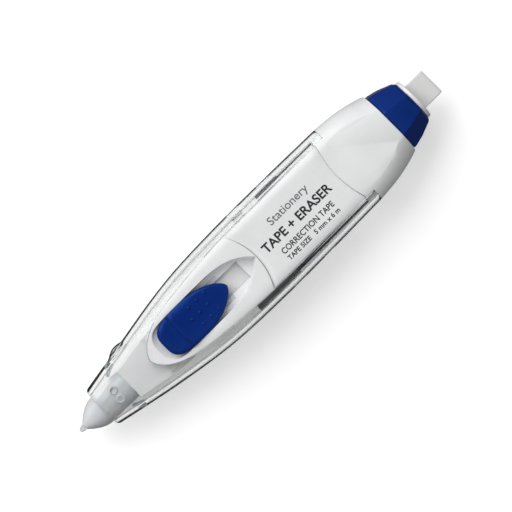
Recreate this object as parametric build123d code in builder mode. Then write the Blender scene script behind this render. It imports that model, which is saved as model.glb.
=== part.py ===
from build123d import *
import os
from math import acos, cos, hypot, pi, radians, sin, tan

# Pen-shaped correction tape with a twist-out eraser, in millimetres.
# +X runs along the pen from the tape tip to the eraser, +Z points out of the
# face with the thumb slider, and the origin is under the middle of the pen on
# the flat back that it lies on.

# ---------------------------------------------------------------- driving sizes
LENGTH = 134.0  # tip to eraser, with both out
AXIS_Z = 10.0  # height of the tape's middle and of the knob's axis
TIP_X = -LENGTH / 2
WALL = 1.3  # clear case wall
GAP = 0.12  # assembly gap between neighbouring mouldings
SLIDE_TRAVEL = 6.3  # thumb slider, from tip out to tip in

# Cross sections of the pen: place, half width, half height, corner radius
CASE_FRONT = -58.3
CASE_BACK = 34.8
CASE_STEP = (CASE_BACK - CASE_FRONT) / 5
CASE_STATIONS = (
    (CASE_FRONT, 6.00, 5.75, 4.2),
    (CASE_FRONT + CASE_STEP, 9.80, 7.65, 5.0),
    (CASE_FRONT + 2 * CASE_STEP, 12.55, 9.30, 5.8),
    (CASE_FRONT + 3 * CASE_STEP, 13.35, 10.12, 6.0),
    (CASE_FRONT + 4 * CASE_STEP, 13.30, 10.15, 6.0),
    (CASE_BACK, 12.98, 10.12, 6.0),
)
REAR_STATIONS = (
    (34.9, 12.98, 10.12, 6.0),
    (41.0, 12.45, 10.10, 7.0),
    (45.5, 11.65, 10.05, 8.2),
    (48.3, 10.75, 9.98, 9.2),
    (50.7, 9.90, 9.90, 9.8),
)
NOSE_STATIONS = (
    (-65.0, 1.30, 3.45, 1.20),
    (-63.8, 2.15, 3.80, 2.00),
    (-62.0, 3.10, 4.05, 2.90),
    (-60.0, 3.85, 4.22, 3.60),
    (-58.3, 4.25, 4.30, 4.00),
)

# Layers, measured up from the back
FLOOR_Z = 3.2  # cartridge tray
TRAY_T = 1.0
GEAR_Z = 4.5
GEAR_T = 1.5
FLANGE_Z = 6.3
FLANGE_T = 0.8
TAPE_W = 5.0
TAPE_Z = AXIS_Z - TAPE_W / 2
COVER_Z = 13.8
COVER_T = 1.0
SHOE_T = 0.8  # grey shoe under the thumb slider
PANEL_Z = COVER_Z + COVER_T + SHOE_T + 0.3  # underside of the slider surround
POCKET_Z = 17.1  # floor of the slider's pocket
SLIDER_Z = POCKET_Z + 0.15

# Snap hooks, anti-roll lug and side rails of the clear case
SNAP_PLACES = (3.9, 15.0)
SNAP_LENGTH = 4.0
LUG_OUTLINE = (
    (-49.2, 7.6), (-46.0, 9.45), (-44.9, 9.72), (-43.4, 9.65), (-41.9, 9.3), (-40.6, 8.6),
)
RAIL_Z = 13.2
RAIL_T = 0.8
RAIL_BACK = 31.8
LEFT_RAIL = (10.9, 19.0, 10.8, 11.8, 10.85, 11.3)
RIGHT_RAIL = (-9.3, 5.6, 10.15, 11.75, 10.6, 11.2)

# Top opening of the clear case, filled by the white mouldings
OPENING_FRONT = -40.0
OPENING_HALF = 9.75
SURROUND_END = -0.1  # middle of the curved joint between surround and label
LABEL_END = 30.4  # middle of the curved joint between label and rear housing

# Tape cartridge
MODULE = 0.5
SUPPLY_TEETH = 36
IDLER_TEETH = 22
TAKE_UP_TEETH = 16
SUPPLY_X = 13.0
IDLER_X = SUPPLY_X - MODULE * (SUPPLY_TEETH + IDLER_TEETH) / 2
TAKE_UP_X = IDLER_X - MODULE * (IDLER_TEETH + TAKE_UP_TEETH) / 2
SUPPLY_ROLL_R = 10.2
TAKE_UP_ROLL_R = 5.2
CORE_R = 4.5
SPINDLE_R = 1.5
TAPE_T = 0.12
GUIDE_X = -28.0
GUIDE_Y = 5.6
GUIDE_R = 1.2
NUB_R = 0.62
TAPE_GAP = 0.03
NUB_X = TIP_X + NUB_R + TAPE_GAP + TAPE_T
SLEEVE_END = -48.4  # back of the nose moulding

# Thumb slider and its pocket
SLIDER_FRONT = -34.5
SLIDER_BACK = -10.8
SLIDER_WIDEST = -24.0
SLIDER_HALF = 5.75
SHOULDER = 4.3
CREASE_X = -29.4
CREASE_HALF = 5.35
CROWN_FRONT_Z = 18.5
CROWN_TOP_Z = 20.25
CROWN_BACK_Z = 18.9
POCKET_WIDEST = -22.0
# Pocket outlines at its floor and well above the top face: height, three
# points round the front, half width and tail
POCKET_LEVELS = (
    (POCKET_Z, (-36.0, 0), (-35.45, 3.3), (-33.4, 5.2), 6.35, -2.4),
    (POCKET_Z + 3.5, (-45.0, 0), (-43.0, 4.2), (-38.5, 7.0), 7.35, 0.2),
)
SLOT_FRONT = -30.0
SLOT_BACK = -4.9
SLOT_HALF = 2.9
STEM_BACK = -14.6
STEP_BACK = -11.7  # shallow step round the slot, under the slider
STEP_HALF = 4.2
DOT_PITCH = 2.9
DOT_R = 0.45
DOT_TOP = 20.35
DOT_X = -22.6

# Eraser unit, on the pen's axis
LEAD = 8.0  # eraser travel for one turn of the knob
KNOB_FRONT = 50.85
KNOB_BACK = 59.3
KNOB_R = 9.85
KNOB_BACK_R = 7.4
GUIDE_TUBE_R = 5.9
RUNNING = 0.15
BARREL_R = 7.6
BARREL_FRONT = 36.8
BARREL_BACK = 54.5
LUG_X = 45.5
LUG_R = 0.8
LUG_REACH = 6.85
HOLDER_FRONT = 44.0
SOCKET_X = 47.0
HOLDER_BACK = 52.0
ERASER_W = 8.0
ERASER_T = 4.2
ERASER_END = LENGTH / 2
COLLAR_X = 59.45
COLLAR_END = 60.5

os.makedirs("parts", exist_ok=True)


# ---------------------------------------------------------------- shared shapes
def body_loft(stations, inset=0.0, mode=Mode.ADD):
    """Smooth form through rounded sections, drawn in by inset."""
    sections = []
    for place, half_w, half_h, corner in stations:
        with BuildSketch(Plane.YZ.offset(place)) as section:
            with Locations((0, AXIS_Z)):
                RectangleRounded(
                    2 * (half_w - inset), 2 * (half_h - inset), corner - inset
                )
        sections.append(section.sketch)
    loft(sections, mode=mode)


def slab(x0, x1, half_y, z0, z1, mode=Mode.ADD):
    """Block on the pen's centre plane."""
    with BuildSketch(Plane.XY.offset(z0)) as profile:
        with Locations(((x0 + x1) / 2, 0)):
            Rectangle(x1 - x0, 2 * half_y)
    extrude(profile.sketch, amount=z1 - z0, mode=mode)


def disc(x, y, radius, z0, z1, mode=Mode.ADD):
    """Upright cylinder, for posts, rolls and bores."""
    with BuildSketch(Plane.XY.offset(z0)) as profile:
        with Locations((x, y)):
            Circle(radius)
    extrude(profile.sketch, amount=z1 - z0, mode=mode)


def axial(radius, x0, x1, mode=Mode.ADD):
    """Cylinder on the pen's own axis."""
    with BuildSketch(Plane.YZ.offset(x0)) as profile:
        with Locations((0, AXIS_Z)):
            Circle(radius)
    extrude(profile.sketch, amount=x1 - x0, mode=mode)


def axial_block(width, height, x0, x1, mode=Mode.ADD):
    """Block along the pen's own axis."""
    with BuildSketch(Plane.YZ.offset(x0)) as profile:
        with Locations((0, AXIS_Z)):
            Rectangle(width, height)
    extrude(profile.sketch, amount=x1 - x0, mode=mode)


def opening_prism(gap, z0, mode):
    """Column over the case's top opening, drawn in by gap."""
    with BuildSketch(Plane.XY.offset(z0)) as profile:
        with BuildLine():
            side = Spline(
                (OPENING_FRONT + gap, 0),
                (-35.6, 5.9 - gap),
                (-21.0, 8.5 - gap),
                (-3.0, OPENING_HALF - gap),
                tangents=[(0, 1), (1, 0)],
            )
            Polyline(side @ 1, (40, OPENING_HALF - gap), (40, 0))
            mirror(about=Plane.XZ)
        make_face()
    extrude(profile.sketch, amount=30, mode=mode)


def joint_zone(front, front_bow, back, back_bow, z0):
    """Keep what lies between two bowed joints across the top face."""
    reach = 15.0
    with BuildSketch(Plane.XY.offset(z0)) as profile:
        with BuildLine():
            ahead = ThreePointArc(
                (front + front_bow, -reach), (front, 0), (front + front_bow, reach)
            )
            behind = ThreePointArc(
                (back + back_bow, -reach), (back, 0), (back + back_bow, reach)
            )
            Line(ahead @ 0, behind @ 0)
            Line(ahead @ 1, behind @ 1)
        make_face()
    extrude(profile.sketch, amount=30, mode=Mode.INTERSECT)


def gear_blank(x, teeth, turn, z0, thickness):
    """Spur gear with involute flanks and a tooth centred at angle turn."""
    pitch_r = MODULE * teeth / 2
    base_r = pitch_r * cos(radians(20))
    backlash = 0.09
    half = (pi * MODULE / 2 - backlash) / 2 / pitch_r

    def involute(radius):
        slope = acos(base_r / max(radius, base_r))
        return tan(slope) - slope

    steps = 4
    low = pitch_r - 1.2 * MODULE
    high = pitch_r + 0.85 * MODULE
    radii = [low + (high - low) * i / steps for i in range(steps + 1)]
    points = []
    for tooth in range(teeth):
        middle = radians(turn) + 2 * pi * tooth / teeth
        rising = [(r, middle - half - involute(pitch_r) + involute(r)) for r in radii]
        falling = [(r, middle + half + involute(pitch_r) - involute(r)) for r in radii]
        flank = rising + falling[::-1]
        points += [(x + r * cos(a), r * sin(a)) for r, a in flank]
    with BuildSketch(Plane.XY.offset(z0)) as profile:
        with BuildLine():
            Polyline(*points, close=True)
        make_face()
    extrude(profile.sketch, amount=thickness)


def tangent_points(first, first_r, second, second_r, side):
    """Ends of the straight run that touches two circles on the same side."""
    dx = second[0] - first[0]
    dy = second[1] - first[1]
    span = hypot(dx, dy)
    lean = (first_r - second_r) / span
    rise = side * (1 - lean * lean) ** 0.5
    nx = (dx * lean + dy * rise) / span
    ny = (dy * lean - dx * rise) / span
    start = (first[0] + first_r * nx, first[1] + first_r * ny)
    end = (second[0] + second_r * nx, second[1] + second_r * ny)
    return start, end


def arc_middle(centre, radius, start, end):
    """Point of the circle half way between two of its points."""
    mx = (start[0] + end[0]) / 2 - centre[0]
    my = (start[1] + end[1]) / 2 - centre[1]
    size = hypot(mx, my)
    return centre[0] + radius * mx / size, centre[1] + radius * my / size


def tape_run(reel_x, reel_r, side):
    """Tape from a reel, round its guide post and half way round the nub."""
    half_t = TAPE_T / 2
    reel = (reel_x, 0)
    post = (GUIDE_X, side * GUIDE_Y)
    nub = (NUB_X, 0)
    post_r = GUIDE_R + TAPE_GAP + half_t
    nub_r = NUB_R + TAPE_GAP + half_t
    leave, meet = tangent_points(reel, reel_r + 0.1 + half_t, post, post_r, side)
    away, reach = tangent_points(post, post_r, nub, nub_r, side)
    apex = (NUB_X - nub_r, 0)
    with BuildSketch(Plane.XY.offset(TAPE_Z)) as profile:
        with BuildLine():
            Line(leave, meet)
            ThreePointArc(meet, arc_middle(post, post_r, meet, away), away)
            Line(away, reach)
            ThreePointArc(reach, arc_middle(nub, nub_r, reach, apex), apex)
        trace(line_width=TAPE_T)
    extrude(profile.sketch, amount=TAPE_W)


def tray_outline(half_front, half_mid, half_back, z0, thickness):
    """Tray or cover of the cartridge, widening from the nose to the reels."""
    with BuildSketch(Plane.XY.offset(z0)) as profile:
        with BuildLine():
            Polyline(
                (SLEEVE_END, 0),
                (SLEEVE_END, half_front),
                (-36.0, half_mid),
                (-24.0, half_mid + 0.6),
                (-6.0, half_back),
                (23.0, half_back),
                (25.8, half_back - 2.0),
                (25.8, 0),
            )
            mirror(about=Plane.XZ)
        make_face()
    extrude(profile.sketch, amount=thickness)


def leaf_side(widest_x, half, tail_x):
    """Arc from the widest place of a leaf outline to its pointed tail."""
    reach = tail_x - widest_x
    radius = (reach**2 + half**2) / (2 * half)
    middle = widest_x + reach / 2
    drop = radius - (radius**2 - (reach / 2) ** 2) ** 0.5
    return ThreePointArc((widest_x, half), (middle, half - drop), (tail_x, 0))


def finish(part, name):
    """Label one piece and write it."""
    part.part.label = name
    export_step(part.part, f"parts/{name}.step")


# ---------------------------------------------------------------- clear case
def case_shell():
    """Hollow clear form with the flat back."""
    body_loft(CASE_STATIONS)
    body_loft(CASE_STATIONS, WALL, Mode.SUBTRACT)
    slab(-70, 70, 20, -5, 0, Mode.SUBTRACT)


def side_lug(z0, z1):
    """Small anti-roll lug beside the nose."""
    with BuildSketch(Plane.XY.offset(z0)) as profile:
        with BuildLine():
            Polyline(*LUG_OUTLINE, close=True)
        make_face()
    extrude(profile.sketch, amount=z1 - z0)


with BuildPart() as lower_case:
    case_shell()
    slab(-70, 70, 20, AXIS_Z, 30, Mode.SUBTRACT)
    side_lug(AXIS_Z - 2.2, AXIS_Z)
    # rails that the cartridge slides on
    for rail_y in (-6.5, 6.5):
        with BuildSketch(Plane.XY.offset(0.9)):
            with Locations((3, rail_y)):
                Rectangle(54, 1.2)
        extrude(amount=FLOOR_Z - 0.1 - 0.9)
    # snap hooks that stand up inside the upper case
    for snap_x in SNAP_PLACES:
        for snap_side in (-1, 1):
            with BuildSketch(Plane.XY.offset(AXIS_Z - 2.0)):
                with Locations((snap_x, snap_side * 11.55)):
                    Rectangle(SNAP_LENGTH - 0.4, 0.7)
            extrude(amount=4.0)
            with BuildSketch(Plane.XY.offset(AXIS_Z - 2.0)):
                with Locations((snap_x, snap_side * 12.1)):
                    Rectangle(SNAP_LENGTH - 0.4, 0.6)
            extrude(amount=1.0)
            with BuildSketch(Plane.XY.offset(AXIS_Z + 1.3)):
                with Locations((snap_x, snap_side * 12.25)):
                    Rectangle(SNAP_LENGTH - 0.4, 0.9)
            extrude(amount=0.7)
finish(lower_case, "lower_case")

with BuildPart() as upper_case:
    case_shell()
    slab(-70, 70, 20, -5, AXIS_Z, Mode.SUBTRACT)
    opening_prism(0.0, AXIS_Z + 2, Mode.SUBTRACT)
    side_lug(AXIS_Z, AXIS_Z + 2.2)
    # windows that the snap hooks catch in
    for snap_x in SNAP_PLACES:
        with BuildSketch(Plane.XY.offset(AXIS_Z + 1.15)):
            with Locations((snap_x, 0)):
                Rectangle(SNAP_LENGTH, 40)
        extrude(amount=1.0, mode=Mode.SUBTRACT)
finish(upper_case, "upper_case")


def side_rail(front, step, wide_in, wide_out, thin_in, thin_out, side):
    """Dark strip beside the reels, wide in front and thin behind."""
    with BuildSketch(Plane.XY.offset(RAIL_Z)) as profile:
        with BuildLine():
            Polyline(
                (front, side * wide_in),
                (front, side * wide_out),
                (step, side * wide_out),
                (step, side * thin_out),
                (RAIL_BACK, side * thin_out),
                (RAIL_BACK, side * thin_in),
                (step, side * thin_in),
                (step, side * wide_in),
                close=True,
            )
        make_face()
    extrude(profile.sketch, amount=RAIL_T)


with BuildPart() as left_rail:
    side_rail(*LEFT_RAIL, 1)
finish(left_rail, "left_rail")

with BuildPart() as right_rail:
    side_rail(*RIGHT_RAIL, -1)
finish(right_rail, "right_rail")

# ---------------------------------------------------------------- white top
with BuildPart() as slider_surround:
    body_loft(CASE_STATIONS)
    opening_prism(GAP, PANEL_Z, Mode.INTERSECT)
    joint_zone(-45, -1, SURROUND_END, -6.4, PANEL_Z)
    # leaf-shaped pocket with sloping sides
    for level, tip, cheek, corner, half, tail in POCKET_LEVELS:
        with BuildSketch(Plane.XY.offset(level)):
            with BuildLine():
                widest = (POCKET_WIDEST, half)
                Spline(tip, cheek, corner, widest, tangents=[(0, 1), (1, 0)])
                leaf_side(POCKET_WIDEST, half, tail)
                mirror(about=Plane.XZ)
            make_face()
    loft(mode=Mode.SUBTRACT)
    slab(SLOT_FRONT, SLOT_BACK, SLOT_HALF, PANEL_Z - 1, POCKET_Z + 1, Mode.SUBTRACT)
    slab(SLOT_FRONT - 2, STEP_BACK, STEP_HALF, POCKET_Z - 0.5, POCKET_Z + 1, Mode.SUBTRACT)
finish(slider_surround, "slider_surround")

with BuildPart() as label_panel:
    body_loft(CASE_STATIONS)
    opening_prism(GAP, AXIS_Z + 7.7, Mode.INTERSECT)
    joint_zone(SURROUND_END + GAP, -6.4, LABEL_END, 3.8, AXIS_Z + 7.7)
finish(label_panel, "label_panel")

# ---------------------------------------------------------------- rear housing
with BuildPart() as rear_housing:
    body_loft(CASE_STATIONS[:-1] + REAR_STATIONS[:2])
    opening_prism(GAP, AXIS_Z + 7.7, Mode.INTERSECT)
    joint_zone(LABEL_END + GAP, 3.8, 39, -1, AXIS_Z + 7.7)
    body_loft(REAR_STATIONS)
    body_loft(
        tuple((x, w, h, r) for x, w, h, r in REAR_STATIONS[:4]), 1.5, Mode.SUBTRACT
    )
    # spigot that plugs into the clear case
    with BuildSketch(Plane.YZ.offset(32.0)):
        with Locations((0, AXIS_Z)):
            RectangleRounded(2 * 11.55, 2 * 8.7, 4.6)
            RectangleRounded(2 * 10.5, 2 * 7.6, 3.6, mode=Mode.SUBTRACT)
    extrude(amount=5.0)
    # wall and sleeve that carry the twist barrel
    with BuildSketch(Plane.YZ.offset(38.3)):
        with Locations((0, AXIS_Z)):
            RectangleRounded(2 * 11.2, 2 * 8.6, 5.2)
    extrude(amount=1.2)
    axial(10.0, 35.0, 38.4)
    axial(BARREL_R + 1.2, 38.3, 49.5)
    axial(9.4, 34.0, 38.3, Mode.SUBTRACT)
    axial(BARREL_R + RUNNING, 38.0, 52.0, Mode.SUBTRACT)
    slab(-70, 70, 20, -5, 0, Mode.SUBTRACT)
    # flat that slopes down to the knob
    with BuildSketch(Plane.XZ):
        with BuildLine():
            Polyline((38, 20.6), (38, 20.2), (51.5, 19.05), (51.5, 20.6), close=True)
        make_face()
    extrude(amount=20, both=True, mode=Mode.SUBTRACT)
finish(rear_housing, "rear_housing")

# ---------------------------------------------------------------- cartridge frame
with BuildPart() as cartridge_tray:
    tray_outline(4.8, 7.2, 9.8, 5.0, TRAY_T)
    slab(-25.0, 40, 20, 4.8, 8, Mode.SUBTRACT)
    tray_back = 25.8
    with BuildSketch(Plane.XY.offset(FLOOR_Z)):
        with BuildLine():
            Polyline(
                (-26.0, 0), (-26.0, 7.0), (-8.0, 9.8), (23.0, 9.8), (tray_back, 7.8),
                (tray_back, 0),
            )
            mirror(about=Plane.XZ)
        make_face()
    extrude(amount=TRAY_T)
    slab(-26.0, -25.0, 7.0, FLOOR_Z, 6.0)
    # front wall with the window that the tape passes through
    slab(SLEEVE_END, SLEEVE_END + 1.2, 4.8, 5.0, COVER_Z)
    slab(SLEEVE_END - 1, SLEEVE_END + 2, 3.9, 6.0, COVER_Z + 1, Mode.SUBTRACT)
    # tape guide posts, cover posts and spindles
    for guide_side in (-1, 1):
        disc(GUIDE_X, guide_side * GUIDE_Y, GUIDE_R, 5.5, COVER_Z)
        disc(24.2, guide_side * 8.0, 0.9, FLOOR_Z, COVER_Z)
    disc(-42.0, 0, 1.5, 5.5, COVER_Z)
    disc(SUPPLY_X, 0, SPINDLE_R, FLOOR_Z, COVER_Z + COVER_T)
    disc(TAKE_UP_X, 0, SPINDLE_R, FLOOR_Z, COVER_Z + COVER_T)
    disc(IDLER_X, 0, SPINDLE_R, FLOOR_Z, GEAR_Z + GEAR_T + 0.6)
    # notches for the click spring
    for notch_x in (-10.0 - SLIDE_TRAVEL, -10.0):
        with BuildSketch(Plane.XY.offset(FLOOR_Z)):
            with Locations((notch_x, -10.3)):
                Circle(1.1)
        extrude(amount=TRAY_T, mode=Mode.SUBTRACT)
finish(cartridge_tray, "cartridge_tray")

with BuildPart() as cartridge_cover:
    tray_outline(4.8, 7.2, 9.8, COVER_Z, COVER_T)
    for bore_x in (SUPPLY_X, TAKE_UP_X):
        disc(bore_x, 0, SPINDLE_R + 0.02, COVER_Z - 1, COVER_Z + 3, Mode.SUBTRACT)
finish(cartridge_cover, "cartridge_cover")

# ---------------------------------------------------------------- nose
with BuildPart() as nose:
    body_loft(NOSE_STATIONS)
    with BuildSketch(Plane.YZ.offset(NOSE_STATIONS[-1][0])):
        with Locations((0, AXIS_Z)):
            RectangleRounded(8.8, 8.6, 4.1)
    extrude(amount=SLEEVE_END - NOSE_STATIONS[-1][0])
    # passage for the tape, open at the slot in front and at the back
    passage = (
        (-65.2, 1.02, 3.0, 0.4),
        (-61.5, 1.80, 3.1, 0.7),
        (-57.0, 2.70, 3.4, 1.0),
        (SLEEVE_END + 0.2, 3.90, 3.7, 2.0),
    )
    body_loft(passage, 0.0, Mode.SUBTRACT)
    # two moulded rings on the upper face
    for ring_y in (-1.5, 1.5):
        with BuildSketch(Plane.XY.offset(AXIS_Z + 4.1)):
            with Locations((-52.7, ring_y)):
                Circle(1.2)
                Circle(0.75, mode=Mode.SUBTRACT)
        extrude(amount=0.4)
finish(nose, "nose")

with BuildPart() as applicator_tip:
    half_w = TAPE_W / 2 + 0.2
    with BuildSketch(Plane.XY.offset(AXIS_Z - half_w)):
        with Locations((NUB_X, 0)):
            Circle(NUB_R)
        with Locations((-59.0, 0)):
            Circle(1.1)
        make_hull()
    extrude(amount=2 * half_w)
    slab(-59.0, SLEEVE_END, 1.1, AXIS_Z - half_w, AXIS_Z + half_w)
    slab(-54.0, SLEEVE_END, 1.1, AXIS_Z - 3.45, AXIS_Z + 3.45)
finish(applicator_tip, "applicator_tip")

# ---------------------------------------------------------------- reels and gears
with BuildPart() as supply_gear:
    gear_blank(SUPPLY_X, SUPPLY_TEETH, 0, GEAR_Z, GEAR_T)
    disc(SUPPLY_X, 0, 2.6, GEAR_Z, COVER_Z - 0.4)
    disc(SUPPLY_X, 0, SPINDLE_R + 0.08, GEAR_Z - 1, COVER_Z + 1, Mode.SUBTRACT)
    # lightening holes in the web
    with BuildSketch(Plane.XY.offset(GEAR_Z)):
        with Locations((SUPPLY_X, 0)):
            with PolarLocations(5.6, 6):
                Circle(1.6)
    extrude(amount=GEAR_T, mode=Mode.SUBTRACT)
finish(supply_gear, "supply_gear")

with BuildPart() as clutch_ring:
    disc(SUPPLY_X, 0, 3.45, FLANGE_Z + 1.0, FLANGE_Z + 5.0)
    disc(SUPPLY_X, 0, 2.62, FLANGE_Z, FLANGE_Z + 6.0, Mode.SUBTRACT)
    slab(SUPPLY_X, SUPPLY_X + 6, 0.5, FLANGE_Z, FLANGE_Z + 6.0, Mode.SUBTRACT)
finish(clutch_ring, "clutch_ring")

with BuildPart() as supply_spool:
    disc(SUPPLY_X, 0, 11.0, FLANGE_Z, FLANGE_Z + FLANGE_T)
    disc(SUPPLY_X, 0, CORE_R, FLANGE_Z, COVER_Z - 0.5)
    disc(SUPPLY_X, 0, 3.47, FLANGE_Z - 1, COVER_Z, Mode.SUBTRACT)
    with BuildSketch(Plane.XY.offset(FLANGE_Z)):
        with Locations((SUPPLY_X, 0)):
            with PolarLocations(7.8, 5):
                Circle(1.9)
    extrude(amount=FLANGE_T, mode=Mode.SUBTRACT)
finish(supply_spool, "supply_spool")

with BuildPart() as supply_roll:
    disc(SUPPLY_X, 0, SUPPLY_ROLL_R, TAPE_Z, TAPE_Z + TAPE_W)
    disc(SUPPLY_X, 0, CORE_R + 0.02, TAPE_Z - 1, TAPE_Z + TAPE_W + 1, Mode.SUBTRACT)
finish(supply_roll, "supply_roll")

with BuildPart() as idler_gear:
    gear_blank(IDLER_X, IDLER_TEETH, 180 / IDLER_TEETH, GEAR_Z, GEAR_T)
    disc(IDLER_X, 0, SPINDLE_R + 0.08, GEAR_Z - 1, GEAR_Z + 3, Mode.SUBTRACT)
finish(idler_gear, "idler_gear")

with BuildPart() as take_up_spool:
    gear_blank(TAKE_UP_X, TAKE_UP_TEETH, 0, GEAR_Z, GEAR_T)
    disc(TAKE_UP_X, 0, 3.3, GEAR_Z, FLANGE_Z)
    disc(TAKE_UP_X, 0, 7.6, FLANGE_Z, FLANGE_Z + FLANGE_T)
    disc(TAKE_UP_X, 0, CORE_R, FLANGE_Z, COVER_Z - 0.5)
    disc(TAKE_UP_X, 0, SPINDLE_R + 0.08, GEAR_Z - 1, COVER_Z + 1, Mode.SUBTRACT)
finish(take_up_spool, "take_up_spool")

with BuildPart() as take_up_roll:
    disc(TAKE_UP_X, 0, TAKE_UP_ROLL_R, TAPE_Z, TAPE_Z + TAPE_W)
    disc(TAKE_UP_X, 0, CORE_R + 0.02, TAPE_Z - 1, TAPE_Z + TAPE_W + 1, Mode.SUBTRACT)
finish(take_up_roll, "take_up_roll")

with BuildPart() as feed_tape:
    tape_run(SUPPLY_X, SUPPLY_ROLL_R, 1)
finish(feed_tape, "feed_tape")

with BuildPart() as return_tape:
    tape_run(TAKE_UP_X, TAKE_UP_ROLL_R, -1)
finish(return_tape, "return_tape")

# ---------------------------------------------------------------- thumb slider
with BuildPart() as thumb_slider:
    with BuildSketch(Plane.XY.offset(SLIDER_Z)) as outline:
        with BuildLine():
            shoulder = (SLIDER_FRONT, SHOULDER)
            Line((SLIDER_FRONT, 0), shoulder)
            ThreePointArc(shoulder, (CREASE_X, CREASE_HALF), (SLIDER_WIDEST, SLIDER_HALF))
            leaf_side(SLIDER_WIDEST, SLIDER_HALF, SLIDER_BACK)
            mirror(about=Plane.XZ)
        make_face()
        fillet(outline.vertices().sort_by(Axis.X)[:2], 1.5)
        fillet(outline.vertices().sort_by(Axis.X)[-1], 0.6)
    extrude(amount=5)
    # crowned top, highest over the middle
    with BuildSketch(Plane.XZ):
        with BuildLine():
            front = (SLIDER_FRONT - 1, CROWN_FRONT_Z)
            back = (SLIDER_BACK + 1.3, CROWN_BACK_Z)
            crown = ThreePointArc(front, (-23.0, CROWN_TOP_Z), back)
            Polyline(crown @ 1, (back[0], 25), (front[0], 25), crown @ 0)
        make_face()
    extrude(amount=10, both=True, mode=Mode.SUBTRACT)
    fillet(edges().group_by(Axis.Z)[-1], 0.5)
    # stem through the slot
    stem_front = SLOT_FRONT + 0.3
    slab(stem_front, STEM_BACK, SLOT_HALF - 0.2, COVER_Z + COVER_T + SHOE_T, SLIDER_Z + 0.2)
    # grip dots
    for row in (-1, 0, 1):
        for column in range(3):
            dot_x = DOT_X + DOT_PITCH * (column - (0.5 if row == 0 else 0))
            disc(dot_x, row * DOT_PITCH, DOT_R, CROWN_BACK_Z, DOT_TOP)
finish(thumb_slider, "thumb_slider")

with BuildPart() as slider_shoe:
    slab(-38.0, -3.6, 6.0, COVER_Z + COVER_T, COVER_Z + COVER_T + SHOE_T)
finish(slider_shoe, "slider_shoe")

with BuildPart() as click_spring:
    with BuildSketch(Plane.XY.offset(FLOOR_Z)):
        with BuildLine():
            Line((10, -10.45), (-7.9, -10.45))
            ThreePointArc((-7.9, -10.45), (-10.0, -10.1), (-12.1, -10.45))
        trace(line_width=0.25)
        with Locations((10.6, -10.45)):
            Rectangle(1.4, 0.9)
    extrude(amount=2.0)
finish(click_spring, "click_spring")

# ---------------------------------------------------------------- eraser unit
with BuildPart() as eraser_guide:
    axial(9.35, 35.0, 36.5)
    axial(GUIDE_TUBE_R, 36.5, COLLAR_END)
    axial(6.35, COLLAR_X, COLLAR_END)
    fillet(edges().filter_by(GeomType.CIRCLE).sort_by(Axis.X)[-1], 0.4)
    axial_block(ERASER_W + 1.0, ERASER_T + 1.0, 34.0, 58.5, Mode.SUBTRACT)
    axial_block(ERASER_W + 0.3, ERASER_T + 0.3, 58.0, 61.0, Mode.SUBTRACT)
    slab(37.9, 52.2, LUG_R + 0.2, -1, 21, Mode.SUBTRACT)
finish(eraser_guide, "eraser_guide")


def spiral(start):
    """Helix that passes over the lug's place, from the top or the bottom."""
    about = Plane(origin=(LUG_X - LEAD, 0, AXIS_Z), x_dir=(0, 0, start), z_dir=(1, 0, 0))
    return about * Helix(pitch=LEAD, height=2 * LEAD, radius=6.45)


spirals = [spiral(1), spiral(-1)]

with BuildPart() as twist_barrel:
    axial(BARREL_R, BARREL_FRONT, BARREL_BACK)
    axial(9.0, BARREL_FRONT, BARREL_FRONT + 1.2)
    axial(GUIDE_TUBE_R + RUNNING, BARREL_FRONT - 1, BARREL_BACK + 1, Mode.SUBTRACT)
    # two spiral grooves that drive the eraser holder
    for groove, start in zip(spirals, (1, -1)):
        with BuildSketch(
            Plane(origin=groove @ 0, x_dir=(0, 0, start), z_dir=groove % 0)
        ):
            Rectangle(1.2, 2.0)
        sweep(path=groove, is_frenet=True, mode=Mode.SUBTRACT)
finish(twist_barrel, "twist_barrel")

with BuildPart() as twist_knob:
    for place, radius in ((KNOB_FRONT, KNOB_R), (KNOB_BACK, KNOB_BACK_R)):
        with BuildSketch(Plane.YZ.offset(place)) as face:
            with Locations((0, AXIS_Z)):
                RegularPolygon(radius, 8, rotation=6.5)
            fillet(face.vertices(), 1.6)
    loft()
    fillet(faces().sort_by(Axis.X)[-1].edges(), 0.8)
    axial(BARREL_R + 0.02, KNOB_FRONT - 1, BARREL_BACK + 0.05, Mode.SUBTRACT)
    axial(GUIDE_TUBE_R + RUNNING, KNOB_FRONT - 1, KNOB_BACK + 1, Mode.SUBTRACT)
finish(twist_knob, "twist_knob")

with BuildPart() as eraser_holder:
    axial_block(ERASER_W + 0.8, ERASER_T + 0.8, HOLDER_FRONT, HOLDER_BACK)
    axial_block(ERASER_W + 0.02, ERASER_T + 0.02, SOCKET_X, HOLDER_BACK + 1, Mode.SUBTRACT)
    disc(LUG_X, 0, LUG_R, AXIS_Z + 2.0, AXIS_Z + LUG_REACH)
    disc(LUG_X, 0, LUG_R, AXIS_Z - LUG_REACH, AXIS_Z - 2.0)
finish(eraser_holder, "eraser_holder")

with BuildPart() as eraser_stick:
    with BuildSketch(Plane.YZ.offset(SOCKET_X)):
        with Locations((0, AXIS_Z)):
            RectangleRounded(ERASER_W, ERASER_T, 0.35)
    extrude(amount=ERASER_END - SOCKET_X)
    fillet(faces().sort_by(Axis.X)[-1].edges(), 0.3)
finish(eraser_stick, "eraser_stick")
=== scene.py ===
import math

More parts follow.
